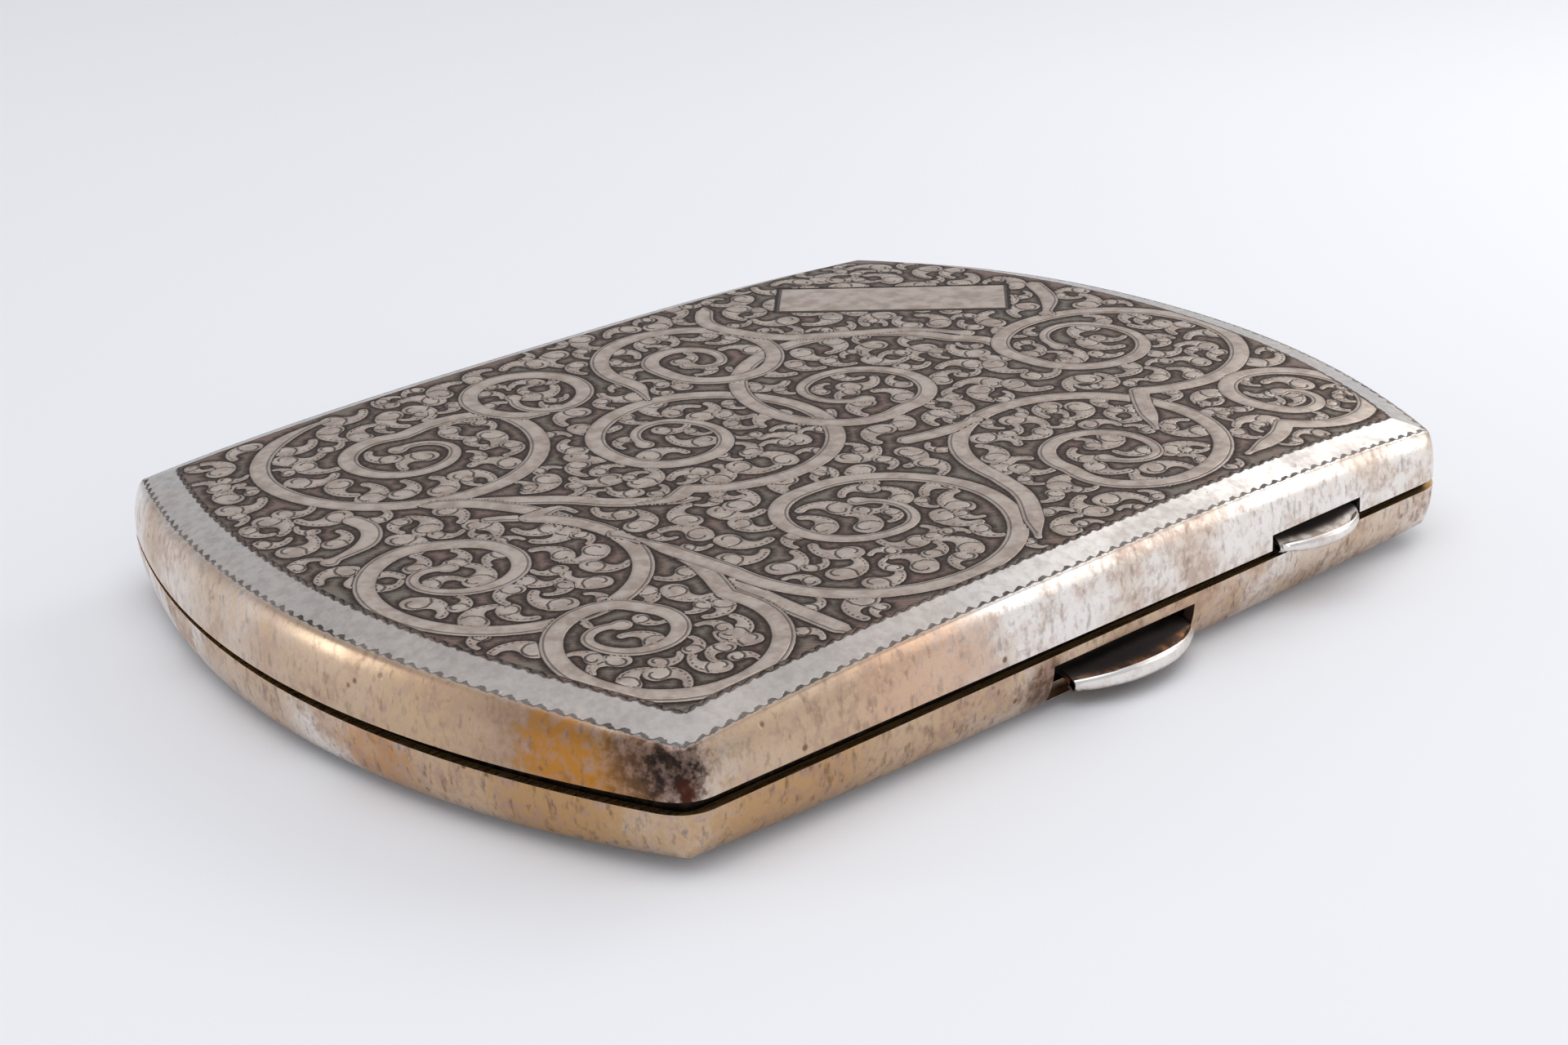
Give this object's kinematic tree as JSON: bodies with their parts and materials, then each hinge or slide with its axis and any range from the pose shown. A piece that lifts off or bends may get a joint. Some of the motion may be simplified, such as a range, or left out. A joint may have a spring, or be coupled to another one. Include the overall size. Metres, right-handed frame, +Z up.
{
  "type": "business card case",
  "caption": "Hinged sheet-silver pocket case for business cards, cushion-shaped with bowed ends, engraved lid, thumb catches and a sprung card bar.",
  "frame": {"origin": "middle of the flat underside that the case rests on", "axes": "+X along the long straight sides, +Y towards the hinge edge, +Z up out of the engraved lid"},
  "size_m": [0.1018, 0.0773, 0.0122],
  "materials": {
    "silver_engraved": "engraved silver, tarnished in the recesses",
    "silver_plain": "polished silver with light yellow-brown tarnish",
    "gilt": "gilt, satin",
    "spring_steel": "satin"
  },
  "bodies": {
    "base": {"base_shell": "silver_plain", "base_bezel": "gilt", "base_hinge_bearer": "silver_plain", "base_knuckle_1": "silver_plain", "base_knuckle_2": "silver_plain", "base_knuckle_3": "silver_plain", "hinge_pin": "spring_steel", "pin_cap_left": "silver_plain", "pin_cap_right": "silver_plain", "base_catch_lug_left": "gilt", "base_catch_lug_right": "gilt", "retainer_lug_left": "gilt", "retainer_lug_right": "gilt", "retainer_pin_left": "spring_steel", "retainer_pin_right": "spring_steel", "retainer_spring_left": "spring_steel", "retainer_spring_right": "spring_steel"},
    "lid": {"lid_shell": "silver_engraved", "lid_hinge_bearer": "silver_plain", "lid_knuckle_1": "silver_plain", "lid_knuckle_2": "silver_plain", "lid_catch_lug_left": "gilt", "lid_catch_lug_right": "gilt"},
    "base_catch": {"base_catch_strip": "spring_steel", "base_thumbpiece": "silver_plain"},
    "lid_catch": {"lid_catch_strip": "spring_steel", "lid_thumbpiece": "silver_plain"},
    "retainer": {"retainer_bar": "gilt", "retainer_arm_left": "gilt", "retainer_arm_right": "gilt"}
  },
  "joints": [
    {"name": "lid_hinge", "type": "hinge", "parent": "base", "child": "lid", "pos_m": [0, 0.03695, 0.00545], "axis": [-1, 0, 0], "range_deg": [0, 165]},
    {"name": "base_catch_press", "type": "slide", "parent": "base", "child": "base_catch", "axis": [0, 1, 0], "range_m": [0, 0.0006], "stiffness_N_per_m": 800, "springref_m": -0.0006},
    {"name": "lid_catch_press", "type": "slide", "parent": "lid", "child": "lid_catch", "axis": [0, 1, 0], "range_m": [0, 0.0006], "stiffness_N_per_m": 800, "springref_m": -0.0006},
    {"name": "retainer_lift", "type": "hinge", "parent": "base", "child": "retainer", "pos_m": [0, 0.0276, 0.0072], "axis": [-1, 0, 0], "range_deg": [0, 9], "stiffness_Nm_per_rad": 0.004, "springref_deg": -28.65}
  ]
}
